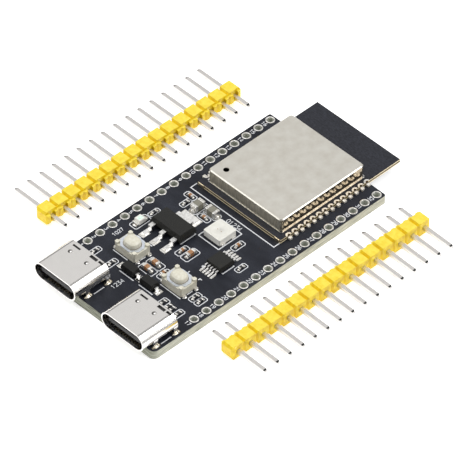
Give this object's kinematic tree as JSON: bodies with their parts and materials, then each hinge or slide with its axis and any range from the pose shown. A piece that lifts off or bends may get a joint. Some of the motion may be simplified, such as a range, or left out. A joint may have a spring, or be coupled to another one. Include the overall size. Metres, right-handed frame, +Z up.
{
  "type": "microcontroller dev board",
  "caption": "Microcontroller board with USB-C ports, push buttons and a shielded radio module, and loose yellow pin strips lying along its sides.",
  "frame": {"origin": "centre of the pin-hole grid on the main board's underside", "axes": "+X along the board from the USB-C ports to the radio module, +Y across it, +Z up out of the component side"},
  "size_m": [0.0562, 0.0547, 0.0048],
  "materials": {
    "board_mask": "matte black-blue solder mask on glass-epoxy laminate",
    "usb_nickel": "bright nickel plate on drawn steel",
    "usb_plastic": "black moulded plastic",
    "button_ivory": "satin ivory plastic",
    "button_steel": "bright stamped steel",
    "dome_steel": "spring steel",
    "chip_plastic": "matte black epoxy",
    "led_white": "white plastic with clear resin",
    "capacitor_ceramic": "fired brown ceramic",
    "module_mask": "matte black solder mask",
    "can_tin": "satin tin plate",
    "crystal_can": "satin metal lid",
    "strip_yellow": "satin yellow plastic",
    "pin_tin": "bright tin on brass"
  },
  "bodies": {
    "board": {"main_board": "board_mask", "usb_port_1_shell": "usb_nickel", "usb_port_2_shell": "usb_nickel", "usb_port_1_insert": "usb_plastic", "usb_port_2_insert": "usb_plastic", "button_1_base": "button_ivory", "button_2_base": "button_ivory", "button_1_cover": "button_steel", "button_2_cover": "button_steel", "button_1_dome": "dome_steel", "button_2_dome": "dome_steel", "voltage_regulator": "chip_plastic", "usb_bridge_chip": "chip_plastic", "diode_1": "chip_plastic", "diode_2": "chip_plastic", "rgb_led": "led_white", "power_led": "led_white", "bulk_capacitor_1": "capacitor_ceramic", "bulk_capacitor_2": "capacitor_ceramic", "module_board": "module_mask", "shield_can": "can_tin", "processor_chip": "chip_plastic", "memory_chip": "chip_plastic", "clock_crystal": "crystal_can"},
    "button_1": {"button_1_plunger": "button_ivory"},
    "button_2": {"button_2_plunger": "button_ivory"},
    "header_1": {"header_1_housing": "strip_yellow", "header_1_pin_01": "pin_tin", "header_1_pin_02": "pin_tin", "header_1_pin_03": "pin_tin", "header_1_pin_04": "pin_tin", "header_1_pin_05": "pin_tin", "header_1_pin_06": "pin_tin", "header_1_pin_07": "pin_tin", "header_1_pin_08": "pin_tin", "header_1_pin_09": "pin_tin", "header_1_pin_10": "pin_tin", "header_1_pin_11": "pin_tin", "header_1_pin_12": "pin_tin", "header_1_pin_13": "pin_tin", "header_1_pin_14": "pin_tin", "header_1_pin_15": "pin_tin", "header_1_pin_16": "pin_tin"},
    "header_2": {"header_2_housing": "strip_yellow", "header_2_pin_01": "pin_tin", "header_2_pin_02": "pin_tin", "header_2_pin_03": "pin_tin", "header_2_pin_04": "pin_tin", "header_2_pin_05": "pin_tin", "header_2_pin_06": "pin_tin", "header_2_pin_07": "pin_tin", "header_2_pin_08": "pin_tin", "header_2_pin_09": "pin_tin", "header_2_pin_10": "pin_tin", "header_2_pin_11": "pin_tin", "header_2_pin_12": "pin_tin", "header_2_pin_13": "pin_tin", "header_2_pin_14": "pin_tin", "header_2_pin_15": "pin_tin", "header_2_pin_16": "pin_tin"}
  },
  "joints": [
    {"name": "button_1_press", "type": "slide", "parent": "board", "child": "button_1", "axis": [0, 0, -1], "range_m": [0, 0.00025], "stiffness_N_per_m": 6400, "deforming": ["button_1_dome"]},
    {"name": "button_2_press", "type": "slide", "parent": "board", "child": "button_2", "axis": [0, 0, -1], "range_m": [0, 0.00025], "stiffness_N_per_m": 6400, "deforming": ["button_2_dome"]},
    {"name": "header_1_lift", "type": "slide", "parent": "board", "child": "header_1", "axis": [0, 0, 1], "range_m": [0, 0.02]},
    {"name": "header_2_lift", "type": "slide", "parent": "board", "child": "header_2", "axis": [0, 0, 1], "range_m": [0, 0.02]}
  ]
}
